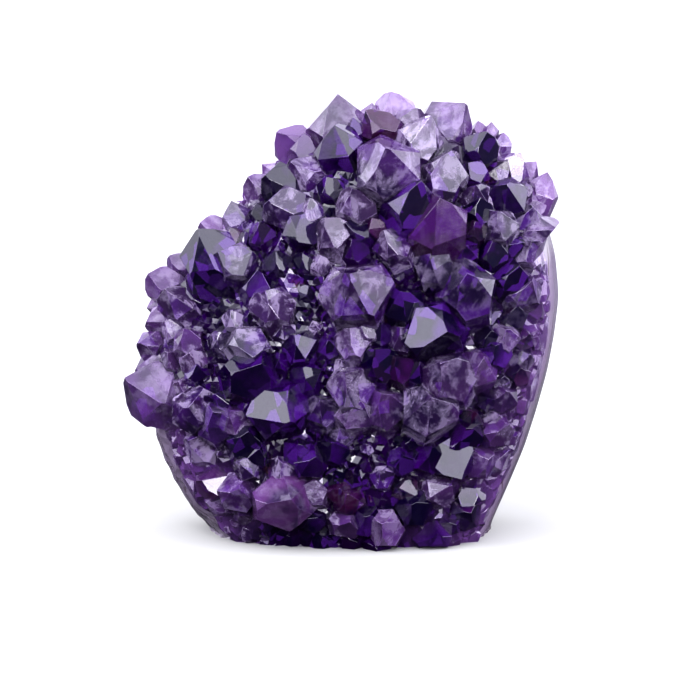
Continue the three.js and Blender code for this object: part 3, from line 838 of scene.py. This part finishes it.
def amethyst_material():
    material, tree = new_material("amethyst")
    shader = tree.nodes["Principled BSDF"]
    output = tree.nodes["Material Output"]
    place = add(tree, "ShaderNodeTexCoord").outputs["Object"]
    facing = add(tree, "ShaderNodeNewGeometry").outputs["True Normal"]
    growth = add(tree, "ShaderNodeAttribute", attribute_name="growth")
    parts = add(tree, "ShaderNodeSeparateColor", {0: growth.outputs["Color"]})
    pale, milk, wine = (parts.outputs[index] for index in range(3))
    chance = growth.outputs["Alpha"]
    site = add(tree, "ShaderNodeAttribute", attribute_name="site")
    sites = add(tree, "ShaderNodeSeparateColor", {0: site.outputs["Color"]})
    height, rusty, near_rim = (sites.outputs[index] for index in range(3))
    # a look through each face to what lies some way behind it
    behind = add(tree, "ShaderNodeVectorMath", {0: facing, "Scale": -5 * MM}, operation="SCALE").outputs[0]
    inside = add(tree, "ShaderNodeVectorMath", {0: place, 1: behind}, operation="ADD").outputs[0]
    planes = add(tree, "ShaderNodeTexVoronoi", {"Vector": inside, "Scale": 210.0}, feature="F1")
    glints = add(tree, "ShaderNodeSeparateColor", {0: planes.outputs["Color"]})
    veil = add(tree, "ShaderNodeTexNoise", {"Vector": inside, "Scale": 185.0, "Detail": 8.0,
                                            "Roughness": 0.66, "Distortion": 0.4})
    cloud = add(tree, "ShaderNodeTexNoise", {"Vector": inside, "Scale": 100.0, "Detail": 3.0})
    # nearly black violet, with painted light seen through the crystal: clouds of a deeper painted glow and
    # single painted glinting planes
    painted_glow_mask = calculate(tree, "MULTIPLY", stretch(tree, cloud.outputs[0], 0.42, 0.62),
                     stretch(tree, chance, 0.25, 0.9))
    deep = mix_colour(tree, painted_glow_mask, NIGHT, PAINTED_GLOW)
    with_painted_glints = mix_colour(tree, stretch(tree, glints.outputs[0], 0.78, 0.92, 0.0, 0.6), deep, PAINTED_GLINT)
    winey = mix_colour(tree, calculate(tree, "MULTIPLY", wine, stretch(tree, cloud.outputs[0], 0.36, 0.52)),
                       with_painted_glints, WINE)
    # paler towards the rim, and in the bevelled edges, partly by wear and partly as a painted edge
    # highlight
    paleness = calculate(tree, "MAXIMUM", pale, calculate(tree, "MULTIPLY", near_rim, 1.0))
    dappled = calculate(tree, "MULTIPLY", paleness, stretch(tree, cloud.outputs[0], 0.3, 0.6, 0.35, 1.2))
    paled = mix_colour(tree, dappled, winey, LILAC)
    # milk gathers at the feet of the crystals
    foot = stretch(tree, height, 0.35, 1.0, 1.0, 0.35)
    milky = calculate(tree, "MULTIPLY", calculate(tree, "MULTIPLY", milk, foot),
                      stretch(tree, veil.outputs[0], 0.47, 0.59))
    veiled = mix_colour(tree, milky, paled, MILK)
    crack = add(tree, "ShaderNodeTexNoise", {"Vector": place, "Scale": 330.0, "Detail": 5.0,
                                             "Roughness": 0.7})
    rust = calculate(tree, "MULTIPLY", rusty, stretch(tree, crack.outputs[0], 0.45, 0.62))
    rusted = mix_colour(tree, calculate(tree, "MULTIPLY", rust, stretch(tree, height, 0.2, 0.8, 1.6, 0.0)),
                        veiled, RUST)
    tree.links.new(rusted, shader.inputs["Base Color"])
    frost = add(tree, "ShaderNodeTexNoise", {"Vector": place, "Scale": 500.0, "Detail": 4.0})
    rough = calculate(tree, "ADD", stretch(tree, frost.outputs[0], 0.4, 0.75, 0.01, 0.08),
                      stretch(tree, chance, 0.8, 1.0, 0.0, 0.14))
    tree.links.new(rough, shader.inputs["Roughness"])
    shader.inputs["IOR"].default_value = QUARTZ_IOR
    shader.inputs["Transmission Weight"].default_value = 0.5
    relief = add(tree, "ShaderNodeTexNoise", {"Vector": place, "Scale": 900.0, "Detail": 3.0})
    bump = add(tree, "ShaderNodeBump", {"Height": relief.outputs[0], "Strength": 0.05, "Distance": 0.0002})
    tree.links.new(bump.outputs[0], shader.inputs["Normal"])
    depth = add(tree, "ShaderNodeVolumeAbsorption", {"Color": ABSORBED, "Density": ABSORBED_DENSITY})
    tree.links.new(depth.outputs[0], output.inputs["Volume"])
    return material


def quartz_material():
    material, tree = new_material("pale_quartz")
    shader = tree.nodes["Principled BSDF"]
    place = add(tree, "ShaderNodeTexCoord").outputs["Object"]
    site = add(tree, "ShaderNodeAttribute", attribute_name="site")
    sites = add(tree, "ShaderNodeSeparateColor", {0: site.outputs["Color"]})
    skin, broken, sawn = (sites.outputs[index] for index in range(3))
    depth = add(tree, "ShaderNodeSeparateXYZ", {0: place}).outputs[1]
    # pale quartz with clouds, faint bands along the rim and lilac patches near the crystals
    cloud = add(tree, "ShaderNodeTexNoise", {"Vector": place, "Scale": 60.0, "Detail": 8.0,
                                             "Roughness": 0.6})
    patch = add(tree, "ShaderNodeTexNoise", {"Vector": place, "Scale": 34.0, "Detail": 4.0})
    clouded = mix_colour(tree, stretch(tree, cloud.outputs[0], 0.35, 0.65), RIM_GREY, RIM_PALE)
    wavy = calculate(tree, "ADD", depth, calculate(tree, "MULTIPLY", patch.outputs[0], 0.016))
    band = add(tree, "ShaderNodeTexNoise", {"W": calculate(tree, "MULTIPLY", wavy, 420.0), "Scale": 1.0,
                                            "Detail": 3.0}, noise_dimensions="1D")
    banded = mix_colour(tree, stretch(tree, band.outputs[0], 0.5, 0.62, 0.0, 0.55), clouded, RIM_BAND)
    near_crystals = stretch(tree, depth, -0.017, 0.0, 1.0, 0.15)
    lilac = calculate(tree, "MULTIPLY", near_crystals, stretch(tree, patch.outputs[0], 0.38, 0.6))
    body = mix_colour(tree, lilac, banded, RIM_LILAC)
    # fine brown cracks and specks
    vein = add(tree, "ShaderNodeTexVoronoi", {"Vector": place, "Scale": 75.0, "Randomness": 1.0},
               feature="DISTANCE_TO_EDGE")
    bent = add(tree, "ShaderNodeTexNoise", {"Vector": place, "Scale": 45.0, "Detail": 2.0})
    crack = calculate(tree, "MULTIPLY", stretch(tree, vein.outputs["Distance"], 0.0, 0.022, 1.0, 0.0),
                      stretch(tree, bent.outputs[0], 0.54, 0.6))
    cracked = mix_colour(tree, crack, body, CRACK)
    speck = add(tree, "ShaderNodeTexNoise", {"Vector": place, "Scale": 240.0, "Detail": 2.0})
    specked = mix_colour(tree, stretch(tree, speck.outputs[0], 0.7, 0.74), cracked, SPECK)
    # the skin at the back: grey and brown, dusty in its hollows
    crust = mix_colour(tree, stretch(tree, cloud.outputs[0], 0.35, 0.62), SKIN_DARK, SKIN_PALE)
    stained = mix_colour(tree, stretch(tree, patch.outputs[0], 0.5, 0.66, 0.0, 0.8), crust, STAIN)
    dust = add(tree, "ShaderNodeTexNoise", {"Vector": place, "Scale": 300.0, "Detail": 6.0,
                                            "Roughness": 0.7})
    dusty = mix_colour(tree, stretch(tree, dust.outputs[0], 0.55, 0.68), stained, DUST)
    skinned = mix_colour(tree, skin, specked, dusty)
    shattered = mix_colour(tree, calculate(tree, "MULTIPLY", broken, 0.6), skinned, BROKEN)
    tree.links.new(shattered, shader.inputs["Base Color"])
    smooth = stretch(tree, cloud.outputs[0], 0.3, 0.7, 0.14, 0.26)
    rough = add(tree, "ShaderNodeMix", {0: skin, 2: smooth, 3: 0.72}).outputs[0]
    roughness = add(tree, "ShaderNodeMix", {0: sawn, 2: rough, 3: 0.5}).outputs[0]
    tree.links.new(roughness, shader.inputs["Roughness"])
    shader.inputs["IOR"].default_value = QUARTZ_IOR
    grit = add(tree, "ShaderNodeMix", {0: skin, 2: calculate(tree, "MULTIPLY", crack, -0.5),
                                       3: dust.outputs[0]}).outputs[0]
    bump = add(tree, "ShaderNodeBump", {"Height": grit, "Strength": 0.5, "Distance": 0.0004})
    tree.links.new(bump.outputs[0], shader.inputs["Normal"])
    return material


# The studio

DOME_LIGHT = 5.7
DOME_COLOUR = (0.97, 0.97, 1.06, 1)
EXPOSURE = 0.35
CONTRAST = 0.8  # under 1 deepens the shadows, as in the photograph
FLOOR_SEEN = (0.33, 0.33, 0.32, 1)
FLOOR_MIRRORED_NEAR = (0.015, 0.015, 0.015, 1)
FLOOR_MIRRORED_FAR = (0.08, 0.08, 0.09, 1)
WHITE = (1, 1, 1, 1)

def softbox(name, place, target, size, strength):
    data = bpy.data.lights.new(name, "AREA")
    data.shape = "RECTANGLE"
    data.size, data.size_y = size
    data.energy = strength
    light = bpy.data.objects.new(name, data)
    light.location = place
    light.rotation_euler = (Vector(target) - Vector(place)).to_track_quat("-Z", "Y").to_euler()
    bpy.context.scene.collection.objects.link(light)


def make_studio():
    backdrop = bmesh.new()
    bmesh.ops.create_grid(backdrop, x_segments=1, y_segments=1, size=3)
    floor = new_piece("floor", backdrop)
    material, tree = new_material("floor")
    seen = add(tree, "ShaderNodeLightPath").outputs["Is Camera Ray"]
    # dimmer where the stone mirrors it than where it is seen directly, and most so next to the stone
    away = add(tree, "ShaderNodeVectorMath", {0: add(tree, "ShaderNodeTexCoord").outputs["Object"]},
               operation="LENGTH").outputs["Value"]
    mirrored = mix_colour(tree, stretch(tree, away, 0.1, 0.5), FLOOR_MIRRORED_NEAR, FLOOR_MIRRORED_FAR)
    tone = mix_colour(tree, seen, mirrored, FLOOR_SEEN)
    tree.links.new(tone, tree.nodes["Principled BSDF"].inputs["Base Color"])
    tree.nodes["Principled BSDF"].inputs["Specular IOR Level"].default_value = 0
    tree.nodes["Principled BSDF"].inputs["Roughness"].default_value = 0.7
    floor.data.materials.append(material)
    world = bpy.data.worlds.new("studio")
    bpy.context.scene.world = world
    world.use_nodes = True
    tree = world.node_tree
    background = tree.nodes["Background"]
    # a soft white dome of light over the stone, brightest in front, and white where it is seen directly
    looked = add(tree, "ShaderNodeTexCoord").outputs["Generated"]
    direction = add(tree, "ShaderNodeSeparateXYZ", {0: looked})
    over = stretch(tree, direction.outputs[2], -0.12, 0.12, 0.0, DOME_LIGHT)
    front = stretch(tree, direction.outputs[1], -0.99, -0.9, 0.6, 1.0)
    back = stretch(tree, direction.outputs[1], -0.1, 0.8, 1.0, 0.35)
    overhead = stretch(tree, direction.outputs[2], 0.4, 1.0, 1.0, 0.4)
    around = calculate(tree, "MULTIPLY", front, calculate(tree, "MULTIPLY", back, overhead))
    dome = calculate(tree, "MULTIPLY", over, around)
    seen = add(tree, "ShaderNodeLightPath").outputs["Is Camera Ray"]
    tree.links.new(calculate(tree, "MAXIMUM", dome, seen), background.inputs["Strength"])
    tree.links.new(mix_colour(tree, seen, DOME_COLOUR, WHITE), background.inputs["Color"])
    middle = (0, 0, 60 * MM)
    softbox("key", (-0.65, -0.55, 0.85), middle, (0.7, 0.7), 4.5)
    softbox("sparkle", (-0.15, -0.75, 0.8), middle, (0.2, 0.2), 1.6)
    softbox("low", (0.38, -0.75, 0.13), (0, 0, 35 * MM), (0.5, 0.2), 3.2)
    view = bpy.context.scene.view_settings
    view.view_transform = "Standard"
    view.exposure = EXPOSURE
    view.gamma = CONTRAST


make_camera()
make_studio()
form = body_form(6)
ground = below_base()
crust = make_crust(form, ground)
stone = make_body(ground)
bpy.data.objects.remove(ground)
crust.data.materials.clear()
crust.data.materials.append(amethyst_material())
stone.data.materials.append(quartz_material())
for piece, node, slot in ((crust, "amethyst_crystals", "amethyst"), (stone, "geode_body", "pale_quartz")):
    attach(piece, "root")
    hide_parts(node)
